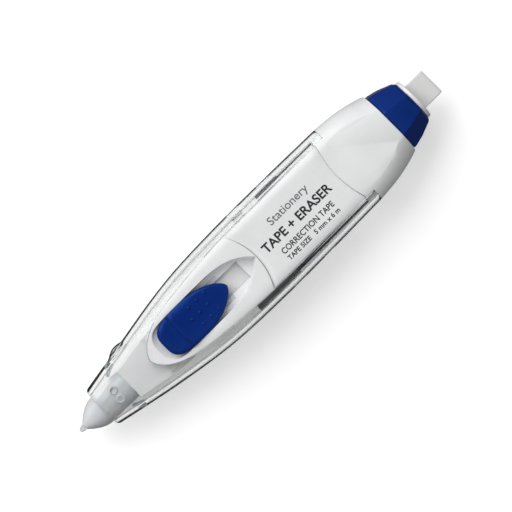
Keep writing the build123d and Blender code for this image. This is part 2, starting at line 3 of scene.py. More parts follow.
import bpy
from mathutils import Euler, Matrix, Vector


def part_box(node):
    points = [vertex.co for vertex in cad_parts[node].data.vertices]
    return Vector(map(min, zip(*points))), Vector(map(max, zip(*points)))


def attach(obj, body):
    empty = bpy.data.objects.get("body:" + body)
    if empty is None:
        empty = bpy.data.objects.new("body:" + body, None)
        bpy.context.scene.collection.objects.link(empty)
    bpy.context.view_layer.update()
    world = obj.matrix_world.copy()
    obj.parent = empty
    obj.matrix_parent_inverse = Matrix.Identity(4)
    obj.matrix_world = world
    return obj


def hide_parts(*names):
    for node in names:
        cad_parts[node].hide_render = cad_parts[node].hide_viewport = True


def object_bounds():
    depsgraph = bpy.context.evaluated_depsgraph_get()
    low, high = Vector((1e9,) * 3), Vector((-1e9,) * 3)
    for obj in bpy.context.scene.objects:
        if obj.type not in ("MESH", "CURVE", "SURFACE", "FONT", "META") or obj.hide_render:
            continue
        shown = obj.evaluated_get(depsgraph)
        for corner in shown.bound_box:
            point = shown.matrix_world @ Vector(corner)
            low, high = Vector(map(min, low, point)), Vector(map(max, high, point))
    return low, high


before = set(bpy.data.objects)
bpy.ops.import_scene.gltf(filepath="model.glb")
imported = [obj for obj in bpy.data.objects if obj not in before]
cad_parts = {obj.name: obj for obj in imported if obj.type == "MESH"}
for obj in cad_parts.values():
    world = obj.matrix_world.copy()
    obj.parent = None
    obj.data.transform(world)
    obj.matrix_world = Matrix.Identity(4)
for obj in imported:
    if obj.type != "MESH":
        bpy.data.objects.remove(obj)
cad_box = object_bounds()

# ------------------------------------------------------------------ sizes, in millimetres
MM = 0.001
AXIS_Z = 10.0  # height of the pen's axis over the table
TAIL_X = (Vector(cad_box[1]) / MM).x
WALL = 1.3  # clear case
END_ROUND = 0.75  # rounding of the clear case's front edge
SEAM = 0.10  # gap between neighbouring mouldings
CASE_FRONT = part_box("upper_case")[0][0] / MM
CASE_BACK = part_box("upper_case")[1][0] / MM
REAR_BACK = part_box("rear_housing")[1][0] / MM
LABEL_FRONT_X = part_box("slider_surround")[1][0] / MM
LABEL_BACK_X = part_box("rear_housing")[0][0] / MM
PANEL_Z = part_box("slider_surround")[0][2] / MM
OPENING_HALF = 9.75
OPENING_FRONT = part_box("slider_surround")[0][0] / MM - SEAM
POCKET_Z = 17.1
LABEL_INSET = 0.22  # how far the label plate lies below its neighbours
LABEL_DISH = 2.3  # width of the label plate's slope down to its joints
LABEL_DROP = 0.45  # depth of that slope
LABEL_UNDER = AXIS_Z + 7.7  # underside of the label plate
FRONT_BOW = -6.4  # bow of the joint in front of the label, at JOINT_REACH from the middle
BACK_BOW = 3.8  # bow of the joint behind it
JOINT_REACH = 15.0
SNAP_XS = (3.9, 15.0)  # middles of the snap hooks and their windows
LUG_HALF = 3.2  # half height of the lug beside the nose
KNOB_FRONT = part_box("twist_knob")[0][0] / MM
KNOB_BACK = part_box("twist_knob")[1][0] / MM
ABOVE = 30.0  # higher than the whole pen, for cutters

# half width, half height and corner radius of the case at six even places
CASE_FORM = (
    (6.00, 5.75, 4.2),
    (9.80, 7.65, 5.0),
    (12.55, 9.30, 5.8),
    (13.35, 10.12, 6.0),
    (13.30, 10.15, 6.0),
    (12.98, 10.12, 6.0),
)
REAR_FORM = (
    (34.9, 12.98, 10.12, 6.0),
    (41.0, 12.45, 10.10, 7.0),
    (45.5, 11.65, 10.05, 8.2),
    (48.3, 10.95, 9.98, 9.2),
    (50.7, 10.18, 9.92, 9.8),
)
NOSE_FORM = (
    (-65.0, 1.15, 3.45, 1.10),
    (-63.8, 2.25, 3.80, 2.10),
    (-62.0, 3.50, 4.05, 3.20),
    (-60.0, 4.28, 4.20, 3.90),
    (-58.3, 4.45, 4.28, 4.10),
)


# ------------------------------------------------------------------ curves through values
def smooth_through(xs, ys, x):
    """Cubic curve through the points, with the slopes of their neighbours."""
    last = len(xs) - 1
    i = 0
    while i < last - 1 and x > xs[i + 1]:
        i += 1
    span = xs[i + 1] - xs[i]
    t = (x - xs[i]) / span

    def slope(k):
        a, b = max(k - 1, 0), min(k + 1, last)
        return (ys[b] - ys[a]) / (xs[b] - xs[a])

    m0, m1 = slope(i) * span, slope(i + 1) * span
    t2, t3 = t * t, t * t * t
    return (
        (2 * t3 - 3 * t2 + 1) * ys[i]
        + (t3 - 2 * t2 + t) * m0
        + (3 * t2 - 2 * t3) * ys[i + 1]
        + (t3 - t2) * m1
    )


CASE_XS = [CASE_FRONT + (CASE_BACK - CASE_FRONT) * i / 5 for i in range(6)]


def case_form(x):
    """Half width, half height and corner radius of the case at x."""
    return tuple(smooth_through(CASE_XS, [row[k] for row in CASE_FORM], x) for k in range(3))


def table_form(table, x):
    """The same for a form given by its own places."""
    xs = [row[0] for row in table]
    return tuple(smooth_through(xs, [row[k] for row in table], x) for k in (1, 2, 3))


def body_form(x):
    """The whole white and clear body, from the nose end to the knob."""
    return case_form(x) if x <= CASE_BACK else table_form(REAR_FORM, x)


def section_point(x, form, v, inset=0.0):
    """Point of a rounded section, v from 0 to 1 round it, starting low on the right (-Y)."""
    half_w, half_h, corner = (value - inset for value in form)
    flats = (half_h - corner, half_w - corner)
    reaches = (half_w, half_h)
    along = (v % 1.0) * 8
    part, t = int(along), along - int(along)
    side = part // 2
    flat, reach = flats[side % 2], reaches[side % 2]
    turn = math.pi - side * math.pi / 2
    out = Vector((math.cos(turn), math.sin(turn)))
    walk = Vector((math.sin(turn), -math.cos(turn)))
    if part % 2 == 0:
        spot = out * reach + walk * (flat * (2 * t - 1))
    else:
        angle = turn - t * math.pi / 2
        spot = out * (reach - corner) + walk * flat
        spot += Vector((math.cos(angle), math.sin(angle))) * corner
    return Vector((x, spot.x, AXIS_Z + spot.y))


def top_of(x, inset):
    """Height of the body's flat top at x."""
    return AXIS_Z + body_form(x)[1] - inset


def opening_half(x):
    """Half width of the case's top opening at x."""
    behind_front = (0.0, 0.6, 1.8, 3.4, 6.6)
    xs = [OPENING_FRONT + step for step in behind_front] + [-29.0, -21.0, -12.0, -3.0, 40.0]
    ys = (0.0, 1.55, 3.05, 4.45, 6.15, 7.4, 8.5, 9.3, OPENING_HALF, OPENING_HALF)
    return smooth_through(xs, ys, x)


# ------------------------------------------------------------------ mesh helpers
def clear_selection():
    if bpy.context.object and bpy.context.object.mode != "OBJECT":
        bpy.ops.object.mode_set(mode="OBJECT")
    bpy.ops.object.select_all(action="DESELECT")


def activate(piece):
    clear_selection()
    piece.select_set(True)
    bpy.context.view_layer.objects.active = piece


def edit_all(piece):
    """Opens a piece in edit mode with its whole mesh selected."""
    activate(piece)
    bpy.ops.object.mode_set(mode="EDIT")
    bpy.ops.mesh.select_all(action="SELECT")


def face_outwards(piece):
    edit_all(piece)
    bpy.ops.mesh.normals_make_consistent(inside=False)
    bpy.ops.object.mode_set(mode="OBJECT")


def rolled(name, along, around, place, closed_along=False):
    """A grid bent onto a form: place(u, v) gives a point in millimetres, and v closes on itself."""
    clear_selection()
    bpy.ops.mesh.primitive_grid_add(x_subdivisions=along, y_subdivisions=around, size=1)
    piece = bpy.context.object
    piece.name = name
    piece.data.name = name
    for vertex in piece.data.vertices:
        vertex.co = place(vertex.co.x + 0.5, vertex.co.y + 0.5) * MM
    bpy.ops.object.mode_set(mode="EDIT")
    bpy.ops.mesh.select_all(action="SELECT")
    bpy.ops.mesh.remove_doubles(threshold=0.000002)
    if not closed_along:
        bpy.ops.mesh.select_all(action="DESELECT")
        bpy.ops.mesh.select_mode(type="EDGE")
        bpy.ops.mesh.select_non_manifold()
        bpy.ops.mesh.edge_face_add()
        bpy.ops.mesh.select_mode(type="VERT")
    bpy.ops.mesh.select_all(action="SELECT")
    bpy.ops.mesh.normals_make_consistent(inside=False)
    bpy.ops.object.mode_set(mode="OBJECT")
    return piece


def block(name, low, high):
    """A cutter block between two corners, in millimetres."""
    clear_selection()
    low, high = Vector(low), Vector(high)
    bpy.ops.mesh.primitive_cube_add(size=1, location=(low + high) / 2 * MM)
    piece = bpy.context.object
    piece.name = name
    piece.scale = (high - low) * MM
    bpy.ops.object.transform_apply(location=True, rotation=True, scale=True)
    return piece


def prism(name, outline, low, high):
    """Upright prism over an outline of (x, y) points, in millimetres."""
    clear_selection()
    bpy.ops.mesh.primitive_circle_add(vertices=len(outline), radius=1, fill_type="NGON")
    piece = bpy.context.object
    piece.name = name
    for vertex, (x, y) in zip(piece.data.vertices, outline):
        vertex.co = Vector((x, y, low)) * MM
    bpy.ops.object.mode_set(mode="EDIT")
    bpy.ops.mesh.select_all(action="SELECT")
    bpy.ops.mesh.extrude_region_move(TRANSFORM_OT_translate={"value": (0, 0, (high - low) * MM)})
    bpy.ops.mesh.select_all(action="SELECT")
    bpy.ops.mesh.normals_make_consistent(inside=False)
    bpy.ops.object.mode_set(mode="OBJECT")
    return piece


def cylinder(name, radius, low, high, x, y, turns):
    """Upright cylinder in millimetres."""
    clear_selection()
    bpy.ops.mesh.primitive_cylinder_add(
        vertices=turns, radius=radius * MM, depth=(high - low) * MM,
        location=(x * MM, y * MM, (low + high) / 2 * MM),
    )
    piece = bpy.context.object
    piece.name = name
    bpy.ops.object.transform_apply(location=True, rotation=True, scale=True)
    return piece


def boolean(piece, cutter, operation="DIFFERENCE", solver="EXACT"):
    """Cuts or joins, then merges and closes what the operation leaves behind."""
    activate(piece)
    modifier = piece.modifiers.new("cut", "BOOLEAN")
    modifier.operation = operation
    modifier.solver = solver
    modifier.object = cutter
    bpy.ops.object.modifier_apply(modifier=modifier.name)
    bpy.data.objects.remove(cutter, do_unlink=True)
    edit_all(piece)
    bpy.ops.mesh.remove_doubles(threshold=0.000004)
    bpy.ops.mesh.dissolve_degenerate(threshold=0.000004)
    bpy.ops.mesh.select_all(action="DESELECT")
    bpy.ops.mesh.select_non_manifold(use_wire=False, use_multi_face=False, use_non_contiguous=False)
    bpy.ops.mesh.fill_holes(sides=0)
    bpy.ops.mesh.select_all(action="SELECT")
    bpy.ops.mesh.delete_loose()
    bpy.ops.object.mode_set(mode="OBJECT")


def soften(piece, width, segments=3, angle=35):
    """Rounds the sharp edges and shades the rest smooth."""
    edit_all(piece)
    bpy.ops.mesh.remove_doubles(threshold=0.00001)
    bpy.ops.object.mode_set(mode="OBJECT")
    if width:
        modifier = piece.modifiers.new("soft", "BEVEL")
        modifier.width = width * MM
        modifier.segments = segments
        modifier.limit_method = "ANGLE"
        modifier.angle_limit = math.radians(angle)
        bpy.ops.object.modifier_apply(modifier=modifier.name)
    bpy.ops.object.shade_smooth_by_angle(angle=math.radians(32))
    return piece


def dress(piece, material, body, slot, *nodes):
    """Gives a finished piece its finish, its body and the nodes that it stands for."""
    piece.data.materials.clear()
    piece.data.materials.append(material)
    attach(piece, body)
    if nodes:
        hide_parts(*nodes)


# ------------------------------------------------------------------ shader maths
class Wire:
    """A number on a socket, with the arithmetic that the finishes use."""

    def __init__(self, tree, socket):
        self.tree = tree
        self.socket = socket

    def _math(self, operation, other, swap=False):
        node = self.tree.nodes.new("ShaderNodeMath")
        node.operation = operation
        first, second = (other, self) if swap else (self, other)
        for value, socket in ((first, node.inputs[0]), (second, node.inputs[1])):
            if isinstance(value, Wire):
                self.tree.links.new(value.socket, socket)
            else:
                socket.default_value = value
        return Wire(self.tree, node.outputs[0])

    def __add__(self, other):
        return self._math("ADD", other)

    __radd__ = __add__

    def __sub__(self, other):
        return self._math("SUBTRACT", other)

    def __rsub__(self, other):
        return self._math("SUBTRACT", other, swap=True)

    def __mul__(self, other):
        return self._math("MULTIPLY", other)

    __rmul__ = __mul__

    def __pow__(self, other):
        return self._math("POWER", other)


class Finish:
    """One procedural material on a Principled shader."""

    def __init__(self, name, **constants):
        self.material = bpy.data.materials.new(name)
        self.material.use_nodes = True
        self.tree = self.material.node_tree
        self.tree.nodes.clear()
        self.output = self.tree.nodes.new("ShaderNodeOutputMaterial")
        self.shader = self.tree.nodes.new("ShaderNodeBsdfPrincipled")
        self.tree.links.new(self.shader.outputs[0], self.output.inputs[0])
        for key, value in constants.items():
            self.shader.inputs[key.replace("_", " ")].default_value = value
        self.place = self.node("ShaderNodeTexCoord").outputs["Object"]

    def node(self, kind, settings=None, **sockets):
        node = self.tree.nodes.new(kind)
        for key, value in (settings or {}).items():
            setattr(node, key, value)
        for key, value in sockets.items():
            socket = node.inputs[key.replace("_", " ")]
            if isinstance(value, Wire):
                value = value.socket
            if isinstance(value, bpy.types.NodeSocket):
                self.tree.links.new(value, socket)
            else:
                socket.default_value = value
        return node

    def noise(self, scale, detail, rough=0.5, place=None, stretch=None):
        where = place or self.place
        if stretch:
            where = self.node("ShaderNodeMapping", Vector=where, Scale=stretch).outputs[0]
        node = self.node(
            "ShaderNodeTexNoise", Vector=where, Scale=scale, Detail=detail, Roughness=rough
        )
        return Wire(self.tree, node.outputs[0])

    def split(self):
        """The three coordinates of a point on the piece."""
        node = self.node("ShaderNodeSeparateXYZ", Vector=self.place)
        return tuple(Wire(self.tree, socket) for socket in node.outputs)

    def ramp(self, factor, *stops):
        node = self.node("ShaderNodeValToRGB", Fac=factor)
        ramp = node.color_ramp
        while len(ramp.elements) < len(stops):
            ramp.elements.new(0.5)
        for element, (position, color) in zip(ramp.elements, stops):
            element.position = position
            element.color = (*color, 1)
        return node.outputs[0]

    def level(self, factor, low, high, start=0.0, end=1.0):
        node = self.node("ShaderNodeMapRange", Value=factor)
        span = {"From Min": start, "From Max": end, "To Min": low, "To Max": high}
        for key, value in span.items():
            node.inputs[key].default_value = value
        return Wire(self.tree, node.outputs[0])

    def feed(self, **sockets):
        for key, value in sockets.items():
            socket = value.socket if isinstance(value, Wire) else value
            self.tree.links.new(socket, self.shader.inputs[key.replace("_", " ")])

    def bump(self, height, strength, distance):
        node = self.node("ShaderNodeBump", Height=height, Strength=strength, Distance=distance * MM)
        self.tree.links.new(node.outputs[0], self.shader.inputs["Normal"])


def moulded(name, dark, light, rough, grain, grain_depth, **constants):
    """Injection moulded plastic: faint mottling, a fine grained skin and soft wear in the gloss."""
    finish = Finish(name, **constants)
    cloud = finish.noise(90.0, 4.0, 0.55)
    skin = finish.noise(grain, 2.0, 0.6)
    rub = finish.noise(420.0, 3.0, 0.6, stretch=(1.0, 0.25, 1.0))
    finish.feed(
        Base_Color=finish.ramp(cloud, (0.3, dark), (0.7, light)),
        Roughness=finish.level(cloud * 0.6 + rub * 0.4, rough[0], rough[1], 0.3, 0.7),
    )
    finish.bump(skin, 0.5, grain_depth)
    return finish.material


def clear_finish():
    """Clear styrene: smooth, faintly scuffed, and darker the further that light goes in it."""
    finish = Finish(
        "clear_styrene", Transmission_Weight=1.0, IOR=1.49, Specular_IOR_Level=0.5
    )
    cloud = finish.noise(60.0, 3.0)
    scuff = finish.noise(700.0, 2.0, 0.6, stretch=(0.12, 1.0, 1.0))
    finish.feed(
        Base_Color=finish.ramp(cloud, (0.3, (0.80, 0.81, 0.806)), (0.7, (0.85, 0.858, 0.855))),
        Roughness=finish.level(scuff, 0.015, 0.045, 0.45, 0.75),
    )
    lamps_pass = finish.node("ShaderNodeBsdfTransparent", Color=(0.87, 0.876, 0.874, 1))
    mix = finish.node("ShaderNodeMixShader")
    tree = finish.tree
    tree.links.new(finish.node("ShaderNodeLightPath").outputs["Is Shadow Ray"], mix.inputs[0])
    tree.links.new(finish.shader.outputs[0], mix.inputs[1])
    tree.links.new(lamps_pass.outputs[0], mix.inputs[2])
    tree.links.new(mix.outputs[0], finish.output.inputs["Surface"])
    depth = finish.node(
        "ShaderNodeVolumeAbsorption", Color=(0.43, 0.442, 0.438, 1), Density=40.0
    )
    tree.links.new(depth.outputs[0], finish.output.inputs["Volume"])
    return finish.material


def frosted_finish():
    """Frosted nylon: lets a little light in under a fine matt skin."""
    finish = Finish(
        "frosted_nylon", Transmission_Weight=0.12, IOR=1.45, Subsurface_Weight=0.12,
        Subsurface_Scale=0.001,
    )
    cloud = finish.noise(130.0, 4.0)
    skin = finish.noise(2600.0, 2.0)
    finish.feed(
        Base_Color=finish.ramp(cloud, (0.3, (0.66, 0.67, 0.70)), (0.7, (0.73, 0.74, 0.77))),
        Roughness=finish.level(skin, 0.38, 0.55, 0.3, 0.7),
    )
    finish.bump(skin, 0.4, 0.03)
    return finish.material


def roll_finish(name, reel_node, dark, light, turn):
    """Wound tape: fine rings about the reel's axis, turn mm apart, on an even edge."""
    finish = Finish(name, Specular_IOR_Level=0.35)
    low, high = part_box(reel_node)
    x, y, z = finish.split()
    dx = x - (low[0] + high[0]) / 2
    dy = y - (low[1] + high[1]) / 2
    radius = (dx * dx + dy * dy) ** 0.5
    ring = finish.noise(1.0, 2.0, 0.7, place=finish.node(
        "ShaderNodeCombineXYZ", X=radius * (1.0 / (turn * MM)), Y=z * 300.0
    ).outputs[0])
    finish.feed(
        Base_Color=finish.ramp(ring, (0.35, dark), (0.65, light)),
        Roughness=finish.level(ring, 0.45, 0.65, 0.3, 0.7),
    )
    finish.bump(ring, 0.6, 0.03)
    return finish.material


def eraser_finish():
    """Soft vinyl, smudged grey at the end that has been used."""
    finish = Finish("eraser_vinyl", Subsurface_Weight=0.15, Subsurface_Scale=0.001)
    grain = finish.noise(900.0, 4.0, 0.6)
    smudge = finish.noise(160.0, 4.0, 0.65)
    x = finish.split()[0]
    worn = finish.level(x, 0.0, 1.0, (TAIL_X - 1.6) * MM, TAIL_X * MM) * smudge
    finish.feed(
        Base_Color=finish.ramp(worn, (0.25, (0.70, 0.70, 0.69)), (0.75, (0.56, 0.56, 0.57))),
        Roughness=finish.level(grain, 0.55, 0.75, 0.3, 0.7),
    )
    finish.bump(grain, 0.5, 0.05)
    return finish.material


def steel_finish():
    """Dark spring strip with its grain along the pen."""
    finish = Finish("spring_steel", Metallic=1.0)
    grain = finish.noise(500.0, 3.0, 0.6, stretch=(0.08, 1.0, 1.0))
    finish.feed(
        Base_Color=finish.ramp(grain, (0.3, (0.16, 0.17, 0.19)), (0.7, (0.30, 0.31, 0.33))),
        Roughness=finish.level(grain, 0.25, 0.42, 0.3, 0.7),
    )
    finish.bump(grain, 0.3, 0.02)
    return finish.material


def rail_finish():
    """Slide rail coloured as painted shade: dark grey at the front, where the gap beside the
    cartridge lies in shadow, and dark navy behind.
    """
    finish = Finish("rail_painted_shade")
    x = finish.split()[0]
    streak = finish.noise(700.0, 3.0, 0.6, stretch=(1.0, 0.1, 0.1))
    # painted shade: dark grey in front of x = 5.2 mm, dark navy behind it
    behind = finish.level(x, 0.0, 0.7, 5.2 * MM, 6.0 * MM)
    finish.feed(
        Base_Color=finish.ramp(
            behind + streak * 0.3, (0.10, (0.16, 0.16, 0.17)), (0.22, (0.10, 0.10, 0.11)),
            (0.72, (0.025, 0.027, 0.06)),
        ),
        Roughness=finish.level(streak, 0.3, 0.45, 0.3, 0.7),
    )
    finish.bump(streak, 0.4, 0.02)
    return finish.material


def ink_finish(name, dark, light):
    """Printed ink, slightly uneven."""
    finish = Finish(name, Specular_IOR_Level=0.3)
    cloud = finish.noise(1500.0, 2.0)
    finish.feed(
        Base_Color=finish.ramp(cloud, (0.3, dark), (0.7, light)),
        Roughness=finish.level(cloud, 0.4, 0.55, 0.3, 0.7),
    )
    return finish.material


WHITE = moulded(
    "white_abs", (0.78, 0.785, 0.79), (0.84, 0.845, 0.85), (0.24, 0.36), 2400.0, 0.012,
    Specular_IOR_Level=0.5,
)
WHITE_INNER = moulded(
    "white_inner", (0.80, 0.805, 0.81), (0.87, 0.875, 0.88), (0.35, 0.5), 1800.0, 0.02
)
BLUE = moulded(
    "blue_gloss", (0.003, 0.018, 0.15), (0.004, 0.024, 0.18), (0.14, 0.24), 1500.0, 0.008,
    IOR=1.5, Specular_Tint=(0.10, 0.32, 1.0, 1.0),
)
GREY = moulded("grey_shoe", (0.74, 0.735, 0.74), (0.80, 0.795, 0.80), (0.4, 0.55), 1600.0, 0.02)
GEAR = moulded("gear_acetal", (0.66, 0.68, 0.70), (0.76, 0.78, 0.80), (0.35, 0.5), 1400.0, 0.02)
# dark navy that paints the shade seen in the gap beside the label panel, on the left rail
NAVY_PAINTED_SHADE = moulded(
    "navy_rail_painted_shade", (0.018, 0.020, 0.045), (0.030, 0.033, 0.065), (0.3, 0.45), 1500.0, 0.015
)
RUBBER = moulded(
    "friction_rubber", (0.02, 0.02, 0.021), (0.035, 0.035, 0.036), (0.55, 0.75), 900.0, 0.04
)
RAIL_PAINTED_SHADE = rail_finish()
CLEAR = clear_finish()
# opaque dark teal-grey that paints the dark edges of the clear case as shade
PAINTED_EDGE_SHADE = moulded(
    "clear_edge_painted_shade", (0.36, 0.41, 0.41), (0.46, 0.51, 0.51), (0.12, 0.22), 1500.0, 0.008
)
FROSTED = frosted_finish()
ERASER = eraser_finish()
STEEL = steel_finish()
TAPE_ROLL = roll_finish("tape_roll", "supply_roll", (0.70, 0.70, 0.67), (0.86, 0.86, 0.83), 0.09)
BACKING_ROLL = roll_finish(
    "backing_roll", "take_up_roll", (0.52, 0.56, 0.55), (0.66, 0.70, 0.68), 0.07
)
TAPE = moulded("tape_film", (0.80, 0.80, 0.77), (0.88, 0.88, 0.85), (0.4, 0.55), 1200.0, 0.01)
BACKING = moulded(
    "tape_glassine", (0.60, 0.64, 0.62), (0.70, 0.73, 0.71), (0.3, 0.45), 1200.0, 0.01
)
DARK_INK = ink_finish("dark_ink", (0.015, 0.016, 0.018), (0.028, 0.029, 0.032))
GREY_INK = ink_finish("grey_ink", (0.13, 0.135, 0.14), (0.19, 0.195, 0.20))


# ------------------------------------------------------------------ clear case
CHEEK_BACK = -46.0
CHEEK_LENGTH = 12.3
CHEEK_SWELL = 0.10


def left_bulge(x, y):
    """The case's left cheek (+Y) stands a little further out near the nose."""
    return 1 + CHEEK_SWELL * max(0.0, (CHEEK_BACK - x) / CHEEK_LENGTH) if y > 0 else 1.0


def mouth_lip():
    """Satin end face of the clear case round the nose, coloured dark teal-grey as painted shade of
    the clear edge.
    """
    proud, sunk, outer = -0.06, 0.03, 0.74
    rows = ((proud, outer), (proud, WALL), (sunk, WALL), (sunk, outer), (proud, outer))

    def place(u, v):
        ahead, inset = rows[round(u * (len(rows) - 1))]
        point = section_point(CASE_FRONT, case_form(CASE_FRONT), v, inset)
        point.x += ahead
        point.y *= left_bulge(CASE_FRONT, point.y)
        return point

    lip = rolled("mouth_lip", len(rows) - 1, 96, place, closed_along=True)
    soften(lip, 0.0)
    dress(lip, PAINTED_EDGE_SHADE, "case", "clear_plastic")


def half_shell(name, side):
    """Upper or lower half of the clear case: a C section along the pen, closed at both ends."""
    around_steps = 44
    mid_side = 1 / 16  # where a section is at mid height
    ends = (0.0, 0.12, 0.35, 0.75)
    first, steps = 1.5, 70
    length = CASE_BACK - CASE_FRONT - first
    middle = [CASE_FRONT + first + length * i / steps for i in range(steps + 1)]
    places = [CASE_FRONT + end for end in ends] + middle
    rows = len(places) + 1

    def skin(x, turn, inset):
        short = max(END_ROUND - (x - CASE_FRONT), 0.0)
        if inset == 0.0:
            drawn_in = END_ROUND - math.sqrt(END_ROUND ** 2 - short ** 2)
        else:
            drawn_in = inset
        point = section_point(x, case_form(x), mid_side + turn * 0.5, drawn_in)
        point.y *= left_bulge(x, point.y)
        if side < 0:
            point.z = 2 * AXIS_Z - point.z
            if inset == 0.0:
                point.z = max(point.z, 0.0)
        return point

    def place(u, v):
        row = round(u * rows)
        x = places[min(max(row - 1, 0), len(places) - 1)]
        step = round(v * (2 * around_steps + 2)) % (2 * around_steps + 2)
        if step <= around_steps:
            turn, inset = step / around_steps, 0.0
        else:
            turn, inset = (2 * around_steps + 1 - step) / around_steps, WALL
        if row in (0, rows):
            return (skin(x, turn, 0.0) + skin(x, turn, WALL)) / 2
        return skin(x, turn, inset)

    return rolled(name, rows, 2 * around_steps + 2, place, closed_along=True)


def opening_outline(gap, front, back, steps=40):
    """Outline of the top opening between two places, drawn in by gap."""
    xs = [front + (back - front) * (i / steps) ** 1.6 for i in range(1, steps + 1)]
    upper = [(x, opening_half(x) - gap) for x in xs]
    return [(front, 0.0)] + upper + [(x, -y) for x, y in reversed(upper)]


def cross_joint(x, bow, sign):
    """Prism with a bowed edge at x that covers everything on one side of it."""
    steps = 24
    edge = []
    for i in range(steps + 1):
        y = -JOINT_REACH + 2 * JOINT_REACH * i / steps
        edge.append((x + bow * (y / JOINT_REACH) ** 2, y))
    far = x + sign * 90.0
    outline = edge + [(far, JOINT_REACH), (far, -JOINT_REACH)]
    return prism("joint", outline, 8.0, ABOVE)


LUG_OUTLINE = (
    (-49.2, 7.6), (-46.0, 9.45), (-44.9, 9.72), (-43.4, 9.65), (-41.9, 9.3), (-40.6, 8.6),
)


def anti_roll_lug(low, high):
    """Small lug beside the nose."""
    return soften(prism("lug", LUG_OUTLINE, low, high), 0.4, 1, 12)


def skin_height(x, y):
    """Height of the case's outside over (x, y)."""
    half_w, half_h, corner = case_form(x)
    over = max(abs(y) - (half_w - corner), 0.0)
    return AXIS_Z + half_h - corner + math.sqrt(max(corner * corner - over * over, 0.0))


def opening_edge():
    """Polished lip round the front of the opening, where the clear wall ends, coloured dark
    teal-grey as painted shade: the dark line that the clear edge shows by internal reflection.
    """
    back = OPENING_FRONT + 8.0
    step = 0.02

    def line(w):
        x = OPENING_FRONT + (back - OPENING_FRONT) * abs(w) ** 1.7
        return Vector((x, math.copysign(opening_half(x), w), 0))

    def place(u, v):
        w = u * 2 - 1
        spot = line(w)
        run = (line(min(w + step, 1)) - line(max(w - step, -1))).normalized()
        radius = 0.20 - 0.12 * abs(w)
        angle = 2 * math.pi * v
        spot += Vector((-run.y, run.x, 0)) * radius * math.cos(angle)
        spot.z = skin_height(spot.x, spot.y) - 0.10 + radius * math.sin(angle)
        return spot

    lip = rolled("opening_lip", 80, 12, place)
    soften(lip, 0.0)
    dress(lip, PAINTED_EDGE_SHADE, "case", "clear_plastic")


def cheek_ribs():
    """Slanting ribs that stiffen the clear case beside the nose sleeve."""
    for name, start, end in (
        ("cheek_rib_left", (-51.5, 5.15), (-48.3, 7.75)),
        ("cheek_rib_right", (-52.0, -5.0), (-49.0, -7.35)),
    ):
        start, end = Vector(start), Vector(end)
        across = (end - start).orthogonal().normalized() * 0.16
        outline = [start - across, end - across, end + across, start + across]
        rib = prism(name, [tuple(point) for point in outline], AXIS_Z - 3.0, AXIS_Z + 3.4)
        soften(rib, 0.08, 2)
        # the ribs' dark teal-grey is painted shade of the clear plastic's edges
        dress(rib, PAINTED_EDGE_SHADE, "case", "clear_plastic")


def snap_window(x, side):
    """Cutter for the slot in the upper case that a snap hook catches."""
    inner, outer = side * 10.6, side * 14
    low = (x - 2.0, min(inner, outer), AXIS_Z + 1.15)
    high = (x + 2.0, max(inner, outer), AXIS_Z + 2.15)
    return block("window", low, high)


def snap_hook(x, side):
    """Hook of the lower case, with its catch outwards."""
    half = 1.8
    stem = block("snap", (x - half, -0.35, -2.0), (x + half, 0.35, 2.0))
    boolean(stem, block("catch", (x - half, 0.2, 1.3), (x + half, 1.1, 2.0)), "UNION")
    for vertex in stem.data.vertices:
        vertex.co.y = side * (vertex.co.y + 11.5 * MM)
        vertex.co.z += AXIS_Z * MM
    stem.name = f"snap_hook_{int(x)}_{'left' if side > 0 else 'right'}"
    face_outwards(stem)
    soften(stem, 0.1, 2)
    dress(stem, CLEAR, "case", "clear_plastic")


def clear_case():
    snaps = [(x, side) for x in SNAP_XS for side in (-1, 1)]
    opening_edge()
    mouth_lip()
    cheek_ribs()
    upper = half_shell("clear_upper_case", 1)
    boolean(upper, prism("opening", opening_outline(0.0, OPENING_FRONT, 40.0), 12.0, ABOVE))
    boolean(upper, anti_roll_lug(AXIS_Z + 0.04, AXIS_Z + LUG_HALF), "UNION", "MANIFOLD")
    for x, side in snaps:
        boolean(upper, snap_window(x, side))
    soften(upper, 0.18, 2)
    dress(upper, CLEAR, "case", "clear_plastic", "upper_case")

    lower = half_shell("clear_lower_case", -1)
    boolean(lower, anti_roll_lug(AXIS_Z - LUG_HALF, AXIS_Z - 0.15), "UNION", "MANIFOLD")
    soften(lower, 0.18, 2)
    dress(lower, CLEAR, "case", "clear_plastic", "lower_case")
    for index, rail_y in enumerate((-6.5, 6.5)):
        rail = block(f"slide_rail_{index}", (-24, rail_y - 0.6, 1.35), (30, rail_y + 0.6, 3.1))
        soften(rail, 0.15, 2)
        dress(rail, CLEAR, "case", "clear_plastic")
    for x, side in snaps:
        snap_hook(x, side)


# ------------------------------------------------------------------ white top
def body_solid(name, front, back, steps):
    """The body's form as one solid between two places."""

    def place(u, v):
        x = front + (back - front) * u
        point = section_point(x, body_form(x), v)
        point.z = max(point.z, 0.0)
        return point

    return rolled(name, steps, 96, place)


POCKET_WIDEST = -22.0
# outlines of the pocket at its floor and 3.5 mm above it: points round the front, and the tail
POCKET_LOW = (
    (-35.3, 0.0), (-34.9, 3.0), (-33.0, 4.9), (-28.5, 5.45), (POCKET_WIDEST, 5.55), -1.4,
)
POCKET_HIGH = (
    (-40.5, 0.0), (-39.0, 3.6), (-35.5, 5.7), (-30.0, 6.0), (POCKET_WIDEST, 5.85), 0.0,
)
# height over the floor, and how far the outline has gone from the low one to the high one
POCKET_LEVELS = (
    (0.0, -0.13), (0.05, -0.06), (0.16, -0.005), (0.35, 0.07), (0.7, 0.18), (1.2, 0.335),
    (3.9, 1.11),
)


